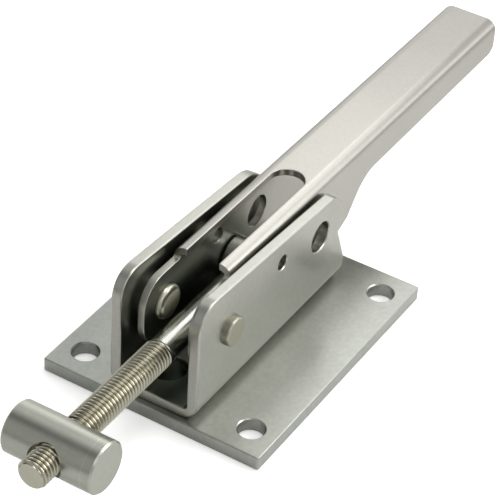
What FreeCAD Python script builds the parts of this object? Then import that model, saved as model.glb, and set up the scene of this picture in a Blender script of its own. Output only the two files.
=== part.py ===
import FreeCAD
import Part
import math
import os

# Heavy pull-action toggle latch, drawn closed, in millimetres.
# +X is the pull direction, towards the tee bar; +Y is the right side; +Z is up.
# The origin is the centre of the base plate's underside.
# The widths are stacked up from the rod at the middle out to the bracket's walls.

# Base plate
plate_length = 128.0
plate_width = 101.6
plate_thickness = 6.35
plate_corner_radius = 1.0
plate_edge_break = 0.6
mount_hole_diameter = 11.1
mount_hole_inset_x = 13.0
mount_hole_inset_y = 11.4
mount_hole_chamfer = 0.5

# Pull rod: a barrel eye on the rod pin, a plain shank and a threaded end
thread_diameter = 12.7
shank_diameter = 12.3
shank_end_from_pivot = 18.1
rod_tip_from_pivot = 102.7
rod_tip_chamfer = 1.0
eye_diameter = 19.1
eye_side_gap = 0.3
eye_edge_break = 1.0

# Tee bar, a drilled and tapped round bar
tee_bar_from_tip = 19.0
tee_bar_diameter = 21.7
tee_bar_length = 40.4
tee_bar_chamfer = 0.7
tee_bore_relief = 1.2
tee_relief_depth = 1.5

# Main pivot: one shouldered rivet and one spacing washer at each side
pivot_x = 38.2
pivot_rise = 32.05
rivet_diameter = 10.0
rivet_outer_diameter = 12.8
rivet_inner_diameter = 15.2
rivet_outer_head = 2.6
rivet_outer_round = 1.0
rivet_inner_head = 2.6
rivet_inner_round = 2.2
rod_to_rivet_gap = 1.0
side_clearance = 0.1
washer_diameter = 20.0
washer_thickness = 2.1
running_clearance = 0.05

# Rod pin, riveted across the handle's legs
rod_pin_from_pivot = 48.2
over_centre_drop = 8.4
rod_pin_diameter = 10.0
rod_pin_head_diameter = 13.0
rod_pin_wall_gap = 1.2

# Handle, bent from one sheet: two legs joined by a slotted top
handle_sheet = 3.3
handle_outer_bend = 5.2
handle_top_above_pivot = 20.1
handle_top_slope = 0.01
handle_edge_break = 0.4
nose_radius = 15.0
nose_upper_corner = 12.5
nose_lower_corner = 12.0
strip_front_gap = 9.7
strip_step_radius = 1.2
slot_side_clearance = 1.05
slot_rear_from_pin = 31.7
slot_edge_break = 0.4
heel_x = -32.0
heel_gap = 0.3
heel_radius = 6.0
lobe_x = -65.0
lobe_drop = 14.8
lobe_radius = 4.0
neck_x = -77.5
neck_radius = 19.0
skirt_depth = 17.9
grip_end_x = -196.0
grip_end_radius = 6.0
grip_end_round = 1.0

# Channel bracket, bent from one sheet
bracket_sheet = 4.8
bracket_inner_bend = 1.6
bracket_outer_bend = 8.0
bracket_length = 112.6
bracket_front_from_pivot = 23.1
bracket_edge_break = 0.8
wall_front_rise = 55.35
wall_top_slope = 0.064
wall_front_radius = 11.0
ear_rise = 39.4
ear_radius = 4.5
right_slope_from_rear = 12.0
right_slope_radius = 5.0
right_ear_from_rear = 1.7
left_slope_from_rear = 17.8
left_slope_radius = 16.0
left_ear_from_rear = 5.3
waist_depth = 7.8
waist_rise = 30.5
waist_radius = 6.0
foot_rise = 11.0
foot_radius = 5.0
web_hole_diameter = 15.0
web_hole_from_front = 16.9
web_hole_y = -3.7

# Holes in line through the bracket's walls and the handle's legs when the latch is shut
lock_hole_diameter = 13.6
lock_hole_x = -29.0
lock_hole_rise = 34.75
pin_hole_diameter = 6.6
pin_hole_x = 1.0
pin_hole_rise = 41.0
hole_chamfer = 0.4

# Plug welds that hold the bracket to the plate
weld_diameter = 12.0
weld_from_front = 37.3
weld_from_rear = 21.3

# How far cutters run past what they cut
overrun = 1.0

# Places across the width, from the rod outwards
leg_inner_y = thread_diameter / 2 + rod_to_rivet_gap + rivet_inner_head + side_clearance
leg_outer_y = leg_inner_y + handle_sheet
wall_inner_y = leg_outer_y + side_clearance + washer_thickness
wall_outer_y = wall_inner_y + bracket_sheet
eye_half_width = leg_inner_y - eye_side_gap
rod_pin_end_y = wall_inner_y - rod_pin_wall_gap
slot_half_width = thread_diameter / 2 + slot_side_clearance

# Places along the length and in height
plate_top = plate_thickness
web_top = plate_top + bracket_sheet
pivot_z = plate_top + pivot_rise
rod_z = pivot_z - over_centre_drop
rod_pin_x = pivot_x - rod_pin_from_pivot
shank_end_x = pivot_x + shank_end_from_pivot
rod_tip_x = pivot_x + rod_tip_from_pivot
tee_bar_x = rod_tip_x - tee_bar_from_tip
bracket_front_x = pivot_x + bracket_front_from_pivot
bracket_rear_x = bracket_front_x - bracket_length
web_hole_x = bracket_front_x - web_hole_from_front
weld_front_x = bracket_front_x - weld_from_front
weld_rear_x = bracket_rear_x + weld_from_rear
handle_top_z = pivot_z + handle_top_above_pivot
skirt_z = handle_top_z - skirt_depth
strip_front_x = pivot_x - strip_front_gap
slot_rear_x = rod_pin_x - slot_rear_from_pin
nose_front_x = pivot_x + nose_radius

X_AXIS = FreeCAD.Vector(1, 0, 0)
Y_AXIS = FreeCAD.Vector(0, 1, 0)
Z_AXIS = FreeCAD.Vector(0, 0, 1)

walls = ((-wall_outer_y, -wall_inner_y), (wall_inner_y, wall_outer_y))
legs = ((-leg_outer_y, -leg_inner_y), (leg_inner_y, leg_outer_y))


def vec(x, y, z):
    return FreeCAD.Vector(x, y, z)


def cross_cylinder(radius, x, z, y0, y1):
    """A cylinder along Y between y0 and y1."""
    return Part.makeCylinder(radius, y1 - y0, vec(x, y0, z), Y_AXIS)


def corner_arc(before, corner, after, radius):
    """The start, middle and end of the arc that rounds one corner of an outline."""
    to_before = before.sub(corner).normalize()
    to_after = after.sub(corner).normalize()
    half = to_before.getAngle(to_after) / 2
    tangent = radius / math.tan(half)
    bisector = to_before.add(to_after).normalize()
    centre = corner.add(bisector.multiply(radius / math.sin(half)))
    inward = corner.sub(centre).normalize()
    return (corner.add(to_before.multiply(tangent)),
            centre.add(inward.multiply(radius)),
            corner.add(to_after.multiply(tangent)))


def side_face(corners, y):
    """A closed outline in the plane of the given y, from corners (x, z, radius)."""
    points = [vec(x, y, z) for x, z, radius in corners]
    count = len(points)
    edges = []
    ends = []
    for i in range(count):
        radius = corners[i][2]
        if radius > 0:
            start, middle, end = corner_arc(points[i - 1], points[i], points[(i + 1) % count], radius)
            edges.append(Part.Arc(start, middle, end).toShape())
            ends.append((start, end))
        else:
            ends.append((points[i], points[i]))
    for i in range(count):
        edges.append(Part.LineSegment(ends[i][1], ends[(i + 1) % count][0]).toShape())
    return Part.Face(Part.Wire(Part.__sortEdges__(edges)))


def side_block(corners, half_width):
    """The outline's full-width block, from -half_width to half_width across Y."""
    return side_face(corners, -half_width).extrude(vec(0, 2 * half_width, 0))


def u_outline(half_width, base_z, radius, open_z):
    """A U in X and Z, with its base at base_z and its open end at open_z."""
    return side_face([(half_width, open_z, 0), (half_width, base_z, radius),
                      (-half_width, base_z, radius), (-half_width, open_z, 0)], 0)


def bent_channel(half_width, sheet, base_z, outer_bend, inner_bend, open_z, x0, x1, slope):
    """A sheet bent to a U section and run along X from x0 to x1, rising with the slope."""
    inside = math.copysign(sheet, open_z - base_z)
    section = u_outline(half_width, base_z, outer_bend, open_z)
    hollow = u_outline(half_width - sheet, base_z + inside, inner_bend, open_z + inside)
    section = section.cut(hollow)
    section.rotate(vec(0, 0, 0), Z_AXIS, 90)
    section.translate(vec(x0, 0, 0))
    return section.extrude(vec(x1 - x0, 0, slope * (x1 - x0)))


def chamfer_cone(radius, chamfer, at, direction):
    """A cutter that chamfers a hole's mouth at a point, where direction points out of the hole.

    The cone starts one chamfer inside the bore's own wall and ends one chamfer outside the mouth.
    """
    start = at.sub(direction * (2 * chamfer))
    return Part.makeCone(radius - chamfer, radius + 2 * chamfer, 3 * chamfer, start, direction)


def cross_hole(radius, chamfer, x, z, faces):
    """A cutter for a hole along Y through the sheets between each pair of faces."""
    pieces = []
    for y0, y1 in faces:
        pieces.append(cross_cylinder(radius, x, z, y0 - overrun, y1 + overrun))
        if chamfer > 0:
            pieces.append(chamfer_cone(radius, chamfer, vec(x, y1, z), Y_AXIS))
            pieces.append(chamfer_cone(radius, chamfer, vec(x, y0, z), Y_AXIS * -1))
    return pieces[0].fuse(pieces[1:])


def soften(shape, size, wanted):
    """Round the edges that the test wanted picks."""
    return shape.makeFillet(size, [edge for edge in shape.Edges if wanted(edge)])


def on_plane(edge, axis, values):
    """True if the whole edge lies in one of the planes across the axis."""
    box = edge.BoundBox
    low, high = {"x": (box.XMin, box.XMax), "y": (box.YMin, box.YMax), "z": (box.ZMin, box.ZMax)}[axis]
    return any(abs(low - value) < 1e-4 and abs(high - value) < 1e-4 for value in values)


def make_base_plate():
    """The flat plate with its four mounting holes and the two holes for the plug welds."""
    plate = Part.makeBox(plate_length, plate_width, plate_thickness,
                         vec(-plate_length / 2, -plate_width / 2, 0))
    plate = soften(plate, plate_corner_radius, lambda edge: edge.BoundBox.ZLength > plate_thickness / 2)
    plate = soften(plate, plate_edge_break, lambda edge: on_plane(edge, "z", (0, plate_top)))
    radius = mount_hole_diameter / 2
    for side_x in (-1, 1):
        for side_y in (-1, 1):
            x = side_x * (plate_length / 2 - mount_hole_inset_x)
            y = side_y * (plate_width / 2 - mount_hole_inset_y)
            plate = plate.cut(Part.makeCylinder(radius, plate_thickness, vec(x, y, 0)))
            plate = plate.cut(chamfer_cone(radius, mount_hole_chamfer, vec(x, y, plate_top), Z_AXIS))
            plate = plate.cut(chamfer_cone(radius, mount_hole_chamfer, vec(x, y, 0), Z_AXIS * -1))
    return plate.cut([make_weld(weld_front_x), make_weld(weld_rear_x)])


def make_weld(x):
    """A plug of weld metal that fills its hole in the plate, flush with the underside."""
    return Part.makeCylinder(weld_diameter / 2, plate_thickness, vec(x, 0, 0))


def wall_outline(slope_from_rear, slope_radius, ear_from_rear):
    """A wall from the side: front corner, rising top, rear slope, ear, waist and foot."""
    front_top = plate_top + wall_front_rise
    slope_x = bracket_rear_x + slope_from_rear
    return [(bracket_front_x, plate_top, 0),
            (bracket_front_x, front_top, wall_front_radius),
            (slope_x, front_top - wall_top_slope * (bracket_front_x - slope_x), slope_radius),
            (bracket_rear_x + ear_from_rear, plate_top + ear_rise, ear_radius),
            (bracket_rear_x + waist_depth, plate_top + waist_rise, waist_radius),
            (bracket_rear_x, plate_top + foot_rise, foot_radius),
            (bracket_rear_x, plate_top, 0)]


def make_wall_block():
    """The block that trims the bent channel: each half of the width has its own rear outline."""
    right = side_face(wall_outline(right_slope_from_rear, right_slope_radius, right_ear_from_rear), 0)
    left = side_face(wall_outline(left_slope_from_rear, left_slope_radius, left_ear_from_rear), 0)
    return right.extrude(vec(0, wall_outer_y, 0)).fuse(left.extrude(vec(0, -wall_outer_y, 0)))


def is_wall_rim(edge):
    """The edges around the rim of each wall face, without the lines where the bends begin."""
    bend_line = on_plane(edge, "z", (web_top + bracket_inner_bend, plate_top + bracket_outer_bend))
    return on_plane(edge, "y", (-wall_outer_y, -wall_inner_y, wall_inner_y, wall_outer_y)) and not bend_line


def make_channel_bracket():
    """The U-shaped bracket, with its pivot holes, lock holes and web hole."""
    bracket = bent_channel(wall_outer_y, bracket_sheet, plate_top, bracket_outer_bend, bracket_inner_bend,
                           web_top + wall_front_rise, bracket_rear_x, bracket_front_x, 0)
    bracket = bracket.common(make_wall_block()).removeSplitter()
    bracket = soften(bracket, bracket_edge_break, is_wall_rim)
    bracket = bracket.cut(cross_hole(rivet_diameter / 2, 0, pivot_x, pivot_z, walls))
    bracket = bracket.cut(cross_hole(lock_hole_diameter / 2, hole_chamfer,
                                     lock_hole_x, plate_top + lock_hole_rise, walls))
    bracket = bracket.cut(cross_hole(pin_hole_diameter / 2, hole_chamfer,
                                     pin_hole_x, plate_top + pin_hole_rise, walls))
    radius = web_hole_diameter / 2
    bracket = bracket.cut(Part.makeCylinder(radius, bracket_sheet, vec(web_hole_x, web_hole_y, plate_top)))
    return bracket.cut(chamfer_cone(radius, hole_chamfer, vec(web_hole_x, web_hole_y, web_top), Z_AXIS))


def rivet_head(diameter, rounding, y_seat, y_face):
    """One round head, flat where it seats and rounded at its outer face."""
    head = cross_cylinder(diameter / 2, pivot_x, pivot_z, min(y_seat, y_face), max(y_seat, y_face))
    return soften(head, rounding, lambda edge: on_plane(edge, "y", (y_face,)))


def make_pivot_rivet():
    """The right rivet: a head outside the wall, a shank through wall, washer and leg, a head inside."""
    inner_seat = leg_inner_y - side_clearance
    inner_face = inner_seat - rivet_inner_head
    shank = cross_cylinder(rivet_diameter / 2, pivot_x, pivot_z, inner_seat, wall_outer_y)
    outer = rivet_head(rivet_outer_diameter, rivet_outer_round, wall_outer_y, wall_outer_y + rivet_outer_head)
    return shank.fuse([outer, rivet_head(rivet_inner_diameter, rivet_inner_round, inner_seat, inner_face)])


def make_pivot_washer():
    """The right spacer, between the leg and the wall."""
    y0 = leg_outer_y + side_clearance
    washer = cross_cylinder(washer_diameter / 2, pivot_x, pivot_z, y0, wall_inner_y)
    bore = rivet_diameter / 2 + running_clearance
    return washer.cut(cross_cylinder(bore, pivot_x, pivot_z, y0, wall_inner_y))


def to_left(shape):
    """The left-hand copy of a right-hand piece."""
    return shape.mirror(vec(0, 0, 0), Y_AXIS)


def handle_outline():
    """The handle from the side: strip end, nose, heel, lobe, neck and grip end."""
    above = handle_top_z + handle_outer_bend
    beyond_x = grip_end_x - overrun
    return [(strip_front_x, above, 0),
            (strip_front_x, pivot_z + nose_radius, strip_step_radius),
            (nose_front_x, pivot_z + nose_radius, nose_upper_corner),
            (nose_front_x, pivot_z - nose_radius, nose_lower_corner),
            (heel_x, web_top + heel_gap, heel_radius),
            (lobe_x, skirt_z - lobe_drop, lobe_radius),
            (neck_x, skirt_z, neck_radius),
            (beyond_x, skirt_z, grip_end_radius + overrun),
            (beyond_x, above, 0)]


def is_grip_end_rim(edge):
    """The outer edges of the grip's square end."""
    top = handle_top_z + handle_top_slope * grip_end_x
    outer = abs(edge.BoundBox.ZMax - top) < 1e-3 or on_plane(edge, "y", (-leg_outer_y, leg_outer_y))
    return outer and on_plane(edge, "x", (grip_end_x,))


def is_slot_rim(edge):
    """The upper edges of the slot, along its sides and round its rear arch."""
    box = edge.BoundBox
    within = max(abs(box.YMin), abs(box.YMax)) < slot_half_width + 1e-3
    upper = box.ZMin > handle_top_z - handle_sheet / 2
    return within and upper and box.ZLength < handle_sheet / 2


def make_slot_cutter():
    """The slot between the two strips, open at the front and round at the rear."""
    centre_x = slot_rear_x + slot_half_width
    low = handle_top_z - handle_outer_bend - handle_sheet
    height = 2 * handle_outer_bend + handle_sheet
    slot = Part.makeBox(strip_front_x - centre_x + overrun, 2 * slot_half_width, height,
                        vec(centre_x, -slot_half_width, low))
    return slot.fuse(Part.makeCylinder(slot_half_width, height, vec(centre_x, 0, low)))


def make_handle():
    """The bent handle with its slot, pivot bores, rod pin holes and lock holes."""
    start_x = nose_front_x + overrun
    start_top = handle_top_z + handle_top_slope * start_x
    handle = bent_channel(leg_outer_y, handle_sheet, start_top, handle_outer_bend,
                          handle_outer_bend - handle_sheet, 0, start_x, grip_end_x, handle_top_slope)
    handle = soften(handle, grip_end_round, is_grip_end_rim)
    handle = handle.common(side_block(handle_outline(), leg_outer_y))
    handle = handle.cut(make_slot_cutter())
    bend_length = (strip_front_x - grip_end_x) / 2
    for face_y in (leg_outer_y, leg_inner_y):
        handle = soften(handle, handle_edge_break,
                        lambda edge: on_plane(edge, "y", (-face_y, face_y))
                        and (edge.BoundBox.XLength < bend_length or edge.BoundBox.ZMax < pivot_z))
    handle = soften(handle, slot_edge_break, is_slot_rim)
    handle = handle.cut(cross_hole(rivet_diameter / 2 + running_clearance, 0, pivot_x, pivot_z, legs))
    handle = handle.cut(cross_hole(rod_pin_diameter / 2, 0, rod_pin_x, rod_z, legs))
    handle = handle.cut(cross_hole(lock_hole_diameter / 2, hole_chamfer,
                                   lock_hole_x, plate_top + lock_hole_rise, legs))
    return handle.cut(cross_hole(pin_hole_diameter / 2, hole_chamfer,
                                 pin_hole_x, plate_top + pin_hole_rise, legs))


def make_rod_pin():
    """A rivet across both legs, with a thin head in the gap at each side."""
    pin = cross_cylinder(rod_pin_diameter / 2, rod_pin_x, rod_z, -rod_pin_end_y, rod_pin_end_y)
    radius = rod_pin_head_diameter / 2
    return pin.fuse([cross_cylinder(radius, rod_pin_x, rod_z, leg_outer_y, rod_pin_end_y),
                     cross_cylinder(radius, rod_pin_x, rod_z, -rod_pin_end_y, -leg_outer_y)])


def make_pull_rod():
    """The barrel eye, the shank and the threaded end, whose thread is left at its outer diameter."""
    eye = cross_cylinder(eye_diameter / 2, rod_pin_x, rod_z, -eye_half_width, eye_half_width)
    eye = soften(eye, eye_edge_break, lambda edge: on_plane(edge, "y", (-eye_half_width, eye_half_width)))
    shank = Part.makeCylinder(shank_diameter / 2, shank_end_x - rod_pin_x, vec(rod_pin_x, 0, rod_z), X_AXIS)
    thread_length = rod_tip_x - shank_end_x
    thread = Part.makeCylinder(thread_diameter / 2, thread_length, vec(shank_end_x, 0, rod_z), X_AXIS)
    thread = thread.makeChamfer(rod_tip_chamfer, [e for e in thread.Edges if on_plane(e, "x", (rod_tip_x,))])
    bore = rod_pin_diameter / 2 + running_clearance
    hole = cross_cylinder(bore, rod_pin_x, rod_z, -leg_outer_y, leg_outer_y)
    return eye.fuse([shank, thread]).cut(hole)


def make_tee_bar():
    """The cross bar, bored across its middle for the rod, with a wider mouth at each side."""
    half = tee_bar_length / 2
    radius = tee_bar_diameter / 2
    bar = cross_cylinder(radius, tee_bar_x, rod_z, -half, half)
    bar = bar.makeChamfer(tee_bar_chamfer, [e for e in bar.Edges if on_plane(e, "y", (-half, half))])
    bore = thread_diameter / 2 + running_clearance
    start_x = tee_bar_x - radius - overrun
    bar = bar.cut(Part.makeCylinder(bore, 2 * (radius + overrun), vec(start_x, 0, rod_z), X_AXIS))
    relief = bore + tee_bore_relief
    reach = math.sqrt(radius ** 2 - relief ** 2) - tee_relief_depth
    for sign in (-1, 1):
        start = vec(tee_bar_x + sign * reach, 0, rod_z)
        bar = bar.cut(Part.makeCylinder(relief, radius, start, X_AXIS * sign))
    return bar


def main():
    os.makedirs("parts", exist_ok=True)
    rivet = make_pivot_rivet()
    washer = make_pivot_washer()
    pieces = {
        "base_plate": make_base_plate(),
        "channel_bracket": make_channel_bracket(),
        "plug_weld_front": make_weld(weld_front_x),
        "plug_weld_rear": make_weld(weld_rear_x),
        "pivot_rivet_right": rivet,
        "pivot_rivet_left": to_left(rivet),
        "pivot_washer_right": washer,
        "pivot_washer_left": to_left(washer),
        "handle": make_handle(),
        "rod_pin": make_rod_pin(),
        "pull_rod": make_pull_rod(),
        "tee_bar": make_tee_bar(),
    }
    for name, shape in pieces.items():
        print(name, shape.isValid(), len(shape.Solids), round(shape.Volume / 1000, 2), "cm3")
        shape.exportStep("parts/" + name + ".step")


main()
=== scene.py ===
import bpy
import bmesh
import math
from mathutils import Matrix, Vector


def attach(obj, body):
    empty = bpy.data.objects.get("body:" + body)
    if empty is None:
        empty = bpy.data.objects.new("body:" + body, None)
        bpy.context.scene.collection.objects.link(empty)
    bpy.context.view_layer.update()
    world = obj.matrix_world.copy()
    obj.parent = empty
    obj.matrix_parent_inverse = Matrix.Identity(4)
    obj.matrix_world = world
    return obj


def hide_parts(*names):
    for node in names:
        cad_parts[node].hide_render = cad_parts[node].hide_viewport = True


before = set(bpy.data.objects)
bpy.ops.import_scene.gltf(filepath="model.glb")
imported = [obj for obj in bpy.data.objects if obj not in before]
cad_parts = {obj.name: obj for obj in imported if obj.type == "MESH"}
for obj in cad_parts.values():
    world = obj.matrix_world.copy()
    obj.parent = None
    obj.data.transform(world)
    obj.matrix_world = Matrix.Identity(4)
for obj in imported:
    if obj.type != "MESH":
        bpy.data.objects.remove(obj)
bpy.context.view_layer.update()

MM = 0.001

# Camera, fitted to the photograph's outlines, with its places in metres
CAMERA_AT = Vector((0.61195, 0.35647, 0.60163))
CAMERA_AIM = Vector((0.05662, 0.03702, 0.09723))
CAMERA_ROLL = math.radians(3.605)
CAMERA_LENS = 162.18
SENSOR_WIDTH = 36.0

# Pull rod, in millimetres, as in the part's source
ROD_Z = 30.0
PIN_X = -10.0
SHANK_END_X = 56.3
TIP_X = 140.9
SHANK_RADIUS = 6.15
THREAD_RADIUS = 6.35
THREAD_ROOT = 5.3
THREAD_PITCH = 1.80
TIP_CHAMFER = 1.0
EYE_RADIUS = 9.55
EYE_HALF_WIDTH = 9.75
EYE_ROUND = 1.0
BORE_RADIUS = 5.05
BORE_CHAMFER = 0.4

# The cut thread: where in a turn its crest, first flank and root end, and how it fades into the shank
CREST_END = 0.125
FLANK_END = 0.4375
ROOT_END = 0.6875
ROOT_RISE = 0.1
FADE_TURNS = 1.6
ROD_SEGMENTS = 72
EYE_SEGMENTS = 96

# Finish of the steel: grain and scratches in lines per metre along each axis, so the small number is
# the direction in which they run
ALONG_X = (10, 450, 450)
AROUND_X = (1700, 20, 20)
AROUND_Y = (20, 1700, 20)
NO_GRAIN = (160, 160, 160)
HAIR_SCRATCHES = (18, 1400, 700)
CROSS_SCRATCHES = (1100, 25, 800)
EVEN = (1, 1, 1)
BROAD_MOTTLE = 38.0
FINE_MOTTLE = 520.0
BUMP_STRENGTH = 0.012
BUMP_DISTANCE = 0.06
SCRATCH_ROUGHNESS = 0.0036
SCRATCH_DEPTH = -0.024

# The painted shade in the roots of the thread, and the fine line round the bar, in millimetres
ROOT_DARK_RADIUS = 5.4
ROOT_CLEAR_RADIUS = 6.1
BAR_LINE_Y = 15.8
BAR_LINE_CORE = 0.08
BAR_LINE_EDGE = 0.32
BAR_LINE_BRIGHTER = 1.12
BAR_LINE_DEPTH = -30.0

# Soft patches of light far off: azimuth and elevation in degrees, and brightness
SOFT_SPREAD = 32.0
SOFT_LIGHTS = (
    (0, 90, 0.40), (0, 68, 0.46), (72, 68, 0.54), (144, 68, 0.67), (216, 68, 0.83), (288, 68, 0.05),
    (0, 46, 0.40), (40, 46, 0.52), (80, 46, 0.83), (120, 46, 0.76), (160, 46, 0.45), (200, 46, 0.65),
    (240, 46, 0.20), (320, 46, 0.55), (0, 26, 0.52), (33, 26, 0.48), (66, 26, 0.47), (99, 26, 0.26),
    (132, 26, 1.23), (165, 26, 0.87), (198, 26, 1.19), (231, 26, 0.52), (330, 26, 0.41), (0, 8, 0.64),
    (36, 8, 0.44), (72, 8, 0.28), (108, 8, 0.63), (144, 8, 1.86), (180, 8, 0.67), (216, 8, 1.38),
    (252, 8, 0.15), (288, 8, 0.12), (324, 8, 0.51),
)

# Softboxes: aim, azimuth and elevation, distance and size in millimetres, and power in watts
SOFTBOXES = (
    ((-30, 0, 58), 210, 38, 450, 260, 0.039),
    ((-30, 0, 58), 210, 38, 300, 120, 0.031),
    ((120, 0, 40), 250, 55, 350, 200, 0.038),
    ((40, 50, 6), 120, 35, 450, 260, 0.853),
    ((60, 20, 30), 60, 30, 450, 260, 0.264),
    ((0, 0, 40), 180, 45, 400, 200, 0.182),
    ((60, 20, 60), 180, 75, 300, 120, 0.217),
    ((60, -50, 10), 240, 30, 400, 200, 0.220),
    ((20, 0, 60), 150, 35, 300, 150, 0.054),
)
FLOOR_GLOW_MIRRORED = 0.023
FLOOR_GLOW_SEEN = 0.45


def new_material(name):
    material = bpy.data.materials.new(name)
    material.use_nodes = True
    material.node_tree.nodes.clear()
    return material, material.node_tree.nodes, material.node_tree.links


def mapped(nodes, links, scale, rotation=(0, 0, 0)):
    """Object coordinates, scaled per axis."""
    coord = nodes.new("ShaderNodeTexCoord")
    mapping = nodes.new("ShaderNodeMapping")
    mapping.inputs["Scale"].default_value = scale
    mapping.inputs["Rotation"].default_value = rotation
    links.new(coord.outputs["Object"], mapping.inputs["Vector"])
    return mapping.outputs["Vector"]


def noise(nodes, links, vector, scale, detail=3.0, roughness=0.5):
    node = nodes.new("ShaderNodeTexNoise")
    node.inputs["Scale"].default_value = scale
    node.inputs["Detail"].default_value = detail
    node.inputs["Roughness"].default_value = roughness
    links.new(vector, node.inputs["Vector"])
    return node.outputs["Fac"]


def ramp(nodes, links, value, low, high, out_low, out_high):
    node = nodes.new("ShaderNodeMapRange")
    node.inputs["From Min"].default_value = low
    node.inputs["From Max"].default_value = high
    node.inputs["To Min"].default_value = out_low
    node.inputs["To Max"].default_value = out_high
    links.new(value, node.inputs["Value"])
    return node.outputs["Result"]


def math_node(nodes, links, operation, a, b):
    node = nodes.new("ShaderNodeMath")
    node.operation = operation
    for socket, value in ((node.inputs[0], a), (node.inputs[1], b)):
        if isinstance(value, (int, float)):
            socket.default_value = value
        else:
            links.new(value, socket)
    return node.outputs[0]


def plus(nodes, links, a, b):
    return math_node(nodes, links, "ADD", a, b)


def times(nodes, links, a, b):
    return math_node(nodes, links, "MULTIPLY", a, b)


def mix_colour(nodes, links, factor, a, b):
    node = nodes.new("ShaderNodeMix")
    node.data_type = "RGBA"
    links.new(factor, node.inputs["Factor"])
    for socket, value in ((node.inputs["A"], a), (node.inputs["B"], b)):
        if isinstance(value, tuple):
            socket.default_value = (*value, 1.0)
        else:
            links.new(value, socket)
    return node.outputs["Result"]


def place_of(nodes, links):
    """The X, Y and Z of object coordinates, in metres."""
    coord = nodes.new("ShaderNodeTexCoord")
    split = nodes.new("ShaderNodeSeparateXYZ")
    links.new(coord.outputs["Object"], split.inputs["Vector"])
    return split.outputs["X"], split.outputs["Y"], split.outputs["Z"]


def bar_line(nodes, links):
    """1 on the fine line cut round the bar and 0 away from it."""
    y = place_of(nodes, links)[1]
    away = math_node(nodes, links, "ABSOLUTE", math_node(nodes, links, "SUBTRACT", y, BAR_LINE_Y * MM), 0.0)
    return ramp(nodes, links, away, BAR_LINE_CORE * MM, BAR_LINE_EDGE * MM, 1.0, 0.0)


def region(nodes, links, *limits):
    """1 inside a box and 0 outside it: per axis its low side, high side and fade, in millimetres."""
    inside = 1.0
    for value, (low, high, fade) in zip(place_of(nodes, links), limits):
        rise = ramp(nodes, links, value, (low - fade) * MM, low * MM, 0.0, 1.0)
        fall = ramp(nodes, links, value, high * MM, (high + fade) * MM, 1.0, 0.0)
        inside = times(nodes, links, inside, times(nodes, links, rise, fall))
    return inside


def thread_roots(nodes, links):
    """1 in the roots of the rod's thread, where shade is painted, and 0 on its crests and everywhere else.
    """
    y, z = place_of(nodes, links)[1:]
    up = math_node(nodes, links, "SUBTRACT", z, ROD_Z * MM)
    square = plus(nodes, links, times(nodes, links, y, y), times(nodes, links, up, up))
    radius = math_node(nodes, links, "SQRT", square, 0.0)
    deep = ramp(nodes, links, radius, ROOT_DARK_RADIUS * MM, ROOT_CLEAR_RADIUS * MM, 1.0, 0.0)
    cut = region(nodes, links, (SHANK_END_X, TIP_X - TIP_CHAMFER, 0.3), (-10, 10, 1), (20, 40, 1))
    return times(nodes, links, deep, cut)


def steel(name, light, dark, grain, roughness, spread=0.02, lined=False,
          tinted=None, tint=None, tinted_rougher=0.0, root=None):
    """Satin stainless steel: fine grain along one axis, soft mottling and hairline scratches.

    The colour varies between light and dark, and the roughness by spread. lined adds the bar's fine line.
    tinted is a box, as for region, that has the colour tint in place of the piece's own: painted shade on
    the plate, bracket and handle, painted light on the rivets' inner heads, and the real greyer tone of the
    rod's shank.
    tinted_rougher is what that box adds to the roughness. root is the colour of the painted shade in the
    thread's roots.
    """
    material, nodes, links = new_material(name)
    output = nodes.new("ShaderNodeOutputMaterial")
    shader = nodes.new("ShaderNodeBsdfPrincipled")
    links.new(shader.outputs["BSDF"], output.inputs["Surface"])
    shader.inputs["Metallic"].default_value = 1.0

    fine = noise(nodes, links, mapped(nodes, links, grain), 1.0, 1.0, 0.5)
    broad = noise(nodes, links, mapped(nodes, links, EVEN), BROAD_MOTTLE, 3.0, 0.55)
    patch = noise(nodes, links, mapped(nodes, links, EVEN), FINE_MOTTLE, 2.0, 0.6)
    hair = noise(nodes, links, mapped(nodes, links, HAIR_SCRATCHES, (0.3, 0.2, 0.5)), 1.0, 1.0, 0.4)
    cross = noise(nodes, links, mapped(nodes, links, CROSS_SCRATCHES, (0.1, -0.4, 0.3)), 1.0, 1.0, 0.4)

    mottled = plus(nodes, links, ramp(nodes, links, broad, 0.35, 0.65, 0.0, 0.4),
                   ramp(nodes, links, patch, 0.3, 0.7, 0.0, 0.6))
    base = mix_colour(nodes, links, mottled, dark, light)
    colour = mix_colour(nodes, links, ramp(nodes, links, fine, 0.3, 0.7, 0.0, 0.12), base, light)
    inside = 0.0
    if tinted is not None:
        inside = region(nodes, links, *tinted)
        colour = mix_colour(nodes, links, inside, colour, tint)
    # painted shade in the thread's roots
    if root is not None:
        colour = mix_colour(nodes, links, thread_roots(nodes, links), colour, root)
    if lined:
        line = bar_line(nodes, links)
        colour = mix_colour(nodes, links, line, colour, tuple(BAR_LINE_BRIGHTER * part for part in light))
    links.new(colour, shader.inputs["Base Color"])

    scratch = plus(nodes, links, ramp(nodes, links, hair, 0.66, 0.74, 0.0, 1.0),
                   ramp(nodes, links, cross, 0.68, 0.75, 0.0, 1.0))
    rough = ramp(nodes, links, fine, 0.3, 0.7, roughness - spread / 2, roughness + spread / 2)
    rough = plus(nodes, links, rough, ramp(nodes, links, broad, 0.3, 0.7, -0.01, 0.015))
    rough = plus(nodes, links, rough, times(nodes, links, scratch, SCRATCH_ROUGHNESS))
    rough = plus(nodes, links, rough, times(nodes, links, inside, tinted_rougher))
    links.new(rough, shader.inputs["Roughness"])

    height = plus(nodes, links, fine, times(nodes, links, scratch, SCRATCH_DEPTH))
    if lined:
        height = plus(nodes, links, height, times(nodes, links, line, BAR_LINE_DEPTH))
    bump = nodes.new("ShaderNodeBump")
    bump.inputs["Strength"].default_value = BUMP_STRENGTH
    bump.inputs["Distance"].default_value = BUMP_DISTANCE * MM
    links.new(height, bump.inputs["Height"])
    links.new(bump.outputs["Normal"], shader.inputs["Normal"])
    return material


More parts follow.
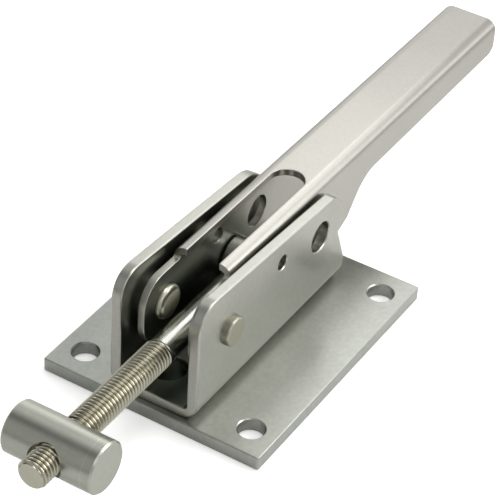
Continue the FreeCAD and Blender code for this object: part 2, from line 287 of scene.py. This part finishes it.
def plate_steel():
    """The plate's finish, with painted shade on its top under the bracket."""
    return steel("plate_satin", (0.398, 0.407, 0.376), (0.324, 0.332, 0.306), ALONG_X, 0.31,
                 tinted=((-60, 52, 0.5), (-14, 14, 0.5), (6.3, 7, 0.05)), tint=(0.12, 0.13, 0.11))


def bracket_steel():
    """The bracket's finish, with painted shade on the inside of the channel."""
    return steel("bracket_satin", (0.446, 0.445, 0.402), (0.384, 0.383, 0.346), ALONG_X, 0.30,
                 tinted=((-60, 60.9, 0.1), (-15.6, 15.6, 0.05), (9, 90, 1)), tint=(0.27, 0.29, 0.245))


def handle_steel():
    """The handle's finish, with painted shade between the legs, fading out towards the grip."""
    return steel("handle_satin", (0.456, 0.446, 0.406), (0.411, 0.401, 0.364), ALONG_X, 0.30,
                 tinted=((10, 60, 35), (-10.1, 10.1, 0.05), (0, 55, 0.5)), tint=(0.15, 0.16, 0.13))


def rod_steel():
    """The rod's straw-coloured turned finish, with a greyer shank and painted shade in the thread roots."""
    return steel("rod_turned", (0.535, 0.518, 0.424), (0.462, 0.448, 0.362), AROUND_X, 0.235,
                 tinted=((-30, 56.5, 1), (-30, 30, 1), (0, 60, 1)), tint=(0.56, 0.57, 0.53),
                 tinted_rougher=0.01, root=(0.22, 0.20, 0.145))


def bar_steel():
    """The cross bar's turned finish, with its fine line."""
    return steel("tee_bar_turned", (0.452, 0.459, 0.401), (0.400, 0.406, 0.354), AROUND_Y, 0.305,
                 spread=0.03, lined=True)


def rivet_steel():
    """The rivets' finish, with painted light on the inner heads."""
    return steel("rivet_satin", (0.378, 0.370, 0.299), (0.351, 0.346, 0.275), NO_GRAIN, 0.33,
                 tinted=((25, 52, 1), (-9.9, 9.9, 0.1), (20, 55, 1)), tint=(0.58, 0.565, 0.47))


def weld_metal():
    """Ground-down weld: coarser, duller and slightly straw coloured."""
    material, nodes, links = new_material("weld_metal")
    output = nodes.new("ShaderNodeOutputMaterial")
    shader = nodes.new("ShaderNodeBsdfPrincipled")
    links.new(shader.outputs["BSDF"], output.inputs["Surface"])
    shader.inputs["Metallic"].default_value = 1.0
    coarse = noise(nodes, links, mapped(nodes, links, EVEN), 420.0, 4.0, 0.6)
    swirl = noise(nodes, links, mapped(nodes, links, (160, 1900, 160), (0, 0, 0.6)), 1.0, 2.0, 0.5)
    colour = mix_colour(nodes, links, ramp(nodes, links, coarse, 0.35, 0.65, 0.0, 1.0),
                        (0.42, 0.39, 0.33), (0.56, 0.55, 0.52))
    links.new(colour, shader.inputs["Base Color"])
    links.new(ramp(nodes, links, swirl, 0.3, 0.7, 0.34, 0.52), shader.inputs["Roughness"])
    bump = nodes.new("ShaderNodeBump")
    bump.inputs["Strength"].default_value = 0.25
    bump.inputs["Distance"].default_value = 0.1 * MM
    links.new(plus(nodes, links, coarse, swirl), bump.inputs["Height"])
    links.new(bump.outputs["Normal"], shader.inputs["Normal"])
    return material


def floor_material():
    """A white sweep: it shows and reflects as white, and still takes the object's shadow."""
    material, nodes, links = new_material("studio_floor")
    output = nodes.new("ShaderNodeOutputMaterial")
    diffuse = nodes.new("ShaderNodeBsdfDiffuse")
    diffuse.inputs["Color"].default_value = (0.86, 0.86, 0.85, 1.0)
    glow = nodes.new("ShaderNodeEmission")
    path = nodes.new("ShaderNodeLightPath")
    mirrored = math_node(nodes, links, "MAXIMUM",
                         path.outputs["Is Glossy Ray"], path.outputs["Is Transmission Ray"])
    mirrored = times(nodes, links, mirrored, FLOOR_GLOW_MIRRORED)
    seen = times(nodes, links, path.outputs["Is Camera Ray"], FLOOR_GLOW_SEEN)
    links.new(plus(nodes, links, mirrored, seen), glow.inputs["Strength"])
    add = nodes.new("ShaderNodeAddShader")
    links.new(diffuse.outputs["BSDF"], add.inputs[0])
    links.new(glow.outputs["Emission"], add.inputs[1])
    links.new(add.outputs["Shader"], output.inputs["Surface"])
    return material


def finish_mesh(name, mesh_builder, angle=35.0):
    """An object from a bmesh, smooth but for edges sharper than the angle in degrees."""
    bmesh.ops.remove_doubles(mesh_builder, verts=mesh_builder.verts, dist=1e-7)
    bmesh.ops.recalc_face_normals(mesh_builder, faces=mesh_builder.faces)
    mesh = bpy.data.meshes.new(name)
    mesh_builder.to_mesh(mesh)
    mesh_builder.free()
    mesh.shade_smooth()
    mesh.set_sharp_from_angle(angle=math.radians(angle))
    piece = bpy.data.objects.new(name, mesh)
    bpy.context.scene.collection.objects.link(piece)
    return piece


def loft(builder, rings):
    """Quads between closed rings of points, and from the last ring back to the first."""
    made = [[builder.verts.new(p) for p in ring] for ring in rings]
    count = len(made[0])
    for a, b in zip(made, made[1:] + made[:1]):
        for i in range(count):
            j = (i + 1) % count
            builder.faces.new((a[i], a[j], b[j], b[i]))


def thread_profile(turn):
    """The thread's radius in millimetres at a part of a turn, flat at the crest and round at the root."""
    if turn < CREST_END:
        return THREAD_RADIUS
    if turn < FLANK_END:
        share = (turn - CREST_END) / (FLANK_END - CREST_END)
    elif turn < ROOT_END:
        middle = (FLANK_END + ROOT_END) / 2
        across = (turn - middle) / (ROOT_END - middle)
        return THREAD_ROOT + ROOT_RISE * across * across
    else:
        share = (1.0 - turn) / (1.0 - ROOT_END)
    return THREAD_RADIUS + (THREAD_ROOT + ROOT_RISE - THREAD_RADIUS) * share


def thread_radius(x, turn):
    """The rod's radius at x: the thread fades in after the shank and ends in the tip's chamfer."""
    fade = min(1.0, max(0.0, (x - SHANK_END_X) / (FADE_TURNS * THREAD_PITCH)))
    fade = fade * fade * (3 - 2 * fade)
    radius = SHANK_RADIUS + (thread_profile(turn) - SHANK_RADIUS) * fade
    return min(radius, THREAD_RADIUS - TIP_CHAMFER + (TIP_X - x))


def round_rod(x, radius, i):
    """Point i of the rod's segments at x, both in millimetres, as a place in metres."""
    angle = 2 * math.pi * i / ROD_SEGMENTS
    return Vector((x, radius * math.cos(angle), ROD_Z + radius * math.sin(angle))) * MM


def add_thread(builder):
    """The helical rows of the cut thread, and the flat face of the tip."""
    steps = (0.0, CREST_END, 0.23, 0.33, FLANK_END, 0.5, 0.5625, 0.625, ROOT_END, 0.79, 0.9)
    turns = int((TIP_X - SHANK_END_X) / THREAD_PITCH) + 2
    rows = []
    for turn in range(-1, turns + 1):
        for step in steps:
            row = []
            for i in range(ROD_SEGMENTS + 1):
                x = SHANK_END_X + THREAD_PITCH * (turn + step + i / ROD_SEGMENTS)
                x = min(max(x, SHANK_END_X), TIP_X)
                row.append(builder.verts.new(round_rod(x, thread_radius(x, step), i)))
            rows.append(row)
    for a, b in zip(rows, rows[1:]):
        for i in range(ROD_SEGMENTS):
            builder.faces.new((a[i], a[i + 1], b[i + 1], b[i]))
    bmesh.ops.remove_doubles(builder, verts=builder.verts, dist=1e-7)
    bmesh.ops.dissolve_degenerate(builder, edges=builder.edges, dist=1e-7)
    near_tip = (TIP_X - 1e-3) * MM
    tip = [e for e in builder.edges if e.is_boundary and min(v.co.x for v in e.verts) > near_tip]
    bmesh.ops.contextual_create(builder, geom=tip)


def add_shank(builder):
    """The plain shank, from inside the eye to where the thread starts."""
    shank = [[builder.verts.new(round_rod(x, SHANK_RADIUS, i)) for i in range(ROD_SEGMENTS)]
             for x in (-2.0, 20.0, 40.0, SHANK_END_X)]
    builder.faces.new(list(reversed(shank[0])))
    for a, b in zip(shank, shank[1:]):
        for i in range(ROD_SEGMENTS):
            j = (i + 1) % ROD_SEGMENTS
            builder.faces.new((a[i], a[j], b[j], b[i]))


def build_threaded_rod():
    """The shank and the cut thread as one piece."""
    builder = bmesh.new()
    add_thread(builder)
    add_shank(builder)
    return finish_mesh("threaded_rod", builder, 28.0)


def build_rod_eye():
    """The barrel eye: a short tube across the rod with rounded rims and a plain bore."""
    builder = bmesh.new()
    outline = []
    for side in (-1, 1):
        arc = []
        for k in range(6):
            angle = math.pi / 2 * k / 5
            radius = EYE_RADIUS - EYE_ROUND + EYE_ROUND * math.sin(angle)
            arc.append((radius, side * (EYE_HALF_WIDTH - EYE_ROUND + EYE_ROUND * math.cos(angle))))
        outline.extend(arc if side < 0 else reversed(arc))
    inner = EYE_HALF_WIDTH - BORE_CHAMFER
    outline.extend([(BORE_RADIUS + BORE_CHAMFER, EYE_HALF_WIDTH), (BORE_RADIUS, inner),
                    (BORE_RADIUS, -inner), (BORE_RADIUS + BORE_CHAMFER, -EYE_HALF_WIDTH)])
    rings = []
    for i in range(EYE_SEGMENTS):
        angle = 2 * math.pi * i / EYE_SEGMENTS
        across, up = math.cos(angle), math.sin(angle)
        rings.append([Vector((PIN_X + r * across, y, ROD_Z + r * up)) * MM for r, y in outline])
    loft(builder, rings)
    return finish_mesh("rod_eye", builder)


def build_floor():
    """A wide flat floor, just under the base plate."""
    builder = bmesh.new()
    bmesh.ops.create_grid(builder, x_segments=1, y_segments=1, size=6.0)
    mesh = bpy.data.meshes.new("studio_floor")
    builder.to_mesh(mesh)
    builder.free()
    floor = bpy.data.objects.new("studio_floor", mesh)
    floor.location.z = -0.2 * MM
    bpy.context.scene.collection.objects.link(floor)
    return floor


def add_camera():
    """The camera at the photograph's place, turned about its own line of sight by the roll."""
    data = bpy.data.cameras.new("camera")
    data.lens = CAMERA_LENS
    data.sensor_width = SENSOR_WIDTH
    data.clip_end = 20.0
    camera = bpy.data.objects.new("camera", data)
    forward = (CAMERA_AIM - CAMERA_AT).normalized()
    right = forward.cross(Vector((0, 0, 1))).normalized()
    up = right.cross(forward)
    turned_right = right * math.cos(CAMERA_ROLL) + up * math.sin(CAMERA_ROLL)
    turned_up = up * math.cos(CAMERA_ROLL) - right * math.sin(CAMERA_ROLL)
    camera.matrix_world = Matrix.Translation(CAMERA_AT) @ Matrix(
        (turned_right, turned_up, -forward)).transposed().to_4x4()
    bpy.context.scene.collection.objects.link(camera)
    bpy.context.scene.camera = camera


def toward(azimuth, elevation):
    """The unit direction at an azimuth from +X and an elevation, both in degrees."""
    turn, lift = math.radians(azimuth), math.radians(elevation)
    return Vector((math.cos(turn) * math.cos(lift), math.sin(turn) * math.cos(lift), math.sin(lift)))


def add_softbox(aim, azimuth, elevation, distance, size, power):
    """A square panel of light that faces the aim, with its place and size in millimetres."""
    data = bpy.data.lights.new("softbox", "AREA")
    data.size = size * MM
    data.energy = power
    light = bpy.data.objects.new("softbox", data)
    away = toward(azimuth, elevation)
    light.location = (Vector(aim) + away * distance) * MM
    light.rotation_euler = (-away).to_track_quat("-Z", "Y").to_euler()
    light.visible_camera = False
    bpy.context.scene.collection.objects.link(light)


def add_world():
    """White where the camera looks; for the light and reflections, soft panels of light all round."""
    world = bpy.data.worlds.new("studio")
    world.use_nodes = True
    nodes, links = world.node_tree.nodes, world.node_tree.links
    nodes.clear()
    output = nodes.new("ShaderNodeOutputWorld")
    coord = nodes.new("ShaderNodeTexCoord")
    ahead = nodes.new("ShaderNodeVectorMath")
    ahead.operation = "NORMALIZE"
    links.new(coord.outputs["Generated"], ahead.inputs[0])
    total = 0.0
    for azimuth, elevation, brightness in SOFT_LIGHTS:
        facing = nodes.new("ShaderNodeVectorMath")
        facing.operation = "DOT_PRODUCT"
        facing.inputs[1].default_value = toward(azimuth, elevation)
        links.new(ahead.outputs["Vector"], facing.inputs[0])
        away = math_node(nodes, links, "SUBTRACT", facing.outputs["Value"], 1.0)
        glow = math_node(nodes, links, "EXPONENT", times(nodes, links, away, SOFT_SPREAD), 0.0)
        total = plus(nodes, links, total, times(nodes, links, glow, brightness))
    surround = nodes.new("ShaderNodeBackground")
    links.new(total, surround.inputs["Strength"])
    white = nodes.new("ShaderNodeBackground")
    path = nodes.new("ShaderNodeLightPath")
    mix = nodes.new("ShaderNodeMixShader")
    links.new(path.outputs["Is Camera Ray"], mix.inputs["Fac"])
    links.new(surround.outputs["Background"], mix.inputs[1])
    links.new(white.outputs["Background"], mix.inputs[2])
    links.new(mix.outputs["Shader"], output.inputs["Surface"])
    for background in (surround, white):
        background.inputs["Color"].default_value = (1, 1, 1, 1)
    bpy.context.scene.world = world


def put_on(node, material):
    """Give a CAD node this material in each of its slots."""
    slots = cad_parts[node].data.materials
    if len(slots) == 0:
        slots.append(material)
    for i in range(len(slots)):
        slots[i] = material


def main():
    add_camera()
    add_world()
    for softbox in SOFTBOXES:
        add_softbox(*softbox)

    weld = weld_metal()
    rivet = rivet_steel()
    washer = steel("washer_satin", (0.37, 0.37, 0.345), (0.34, 0.34, 0.315), NO_GRAIN, 0.32)
    finishes = {
        "base_plate": plate_steel(), "channel_bracket": bracket_steel(), "handle": handle_steel(),
        "plug_weld_front": weld, "plug_weld_rear": weld, "rod_pin": rivet, "tee_bar": bar_steel(),
        "pivot_rivet_right": rivet, "pivot_rivet_left": rivet,
        "pivot_washer_right": washer, "pivot_washer_left": washer,
    }
    for node, material in finishes.items():
        put_on(node, material)
    rod = rod_steel()

    threaded = build_threaded_rod()
    eye = build_rod_eye()
    for piece in (threaded, eye):
        piece.data.materials.append(rod)
        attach(piece, "rod")
    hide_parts("pull_rod")

    floor = build_floor()
    floor.data.materials.append(floor_material())

    bpy.context.scene.view_settings.view_transform = "Standard"


main()
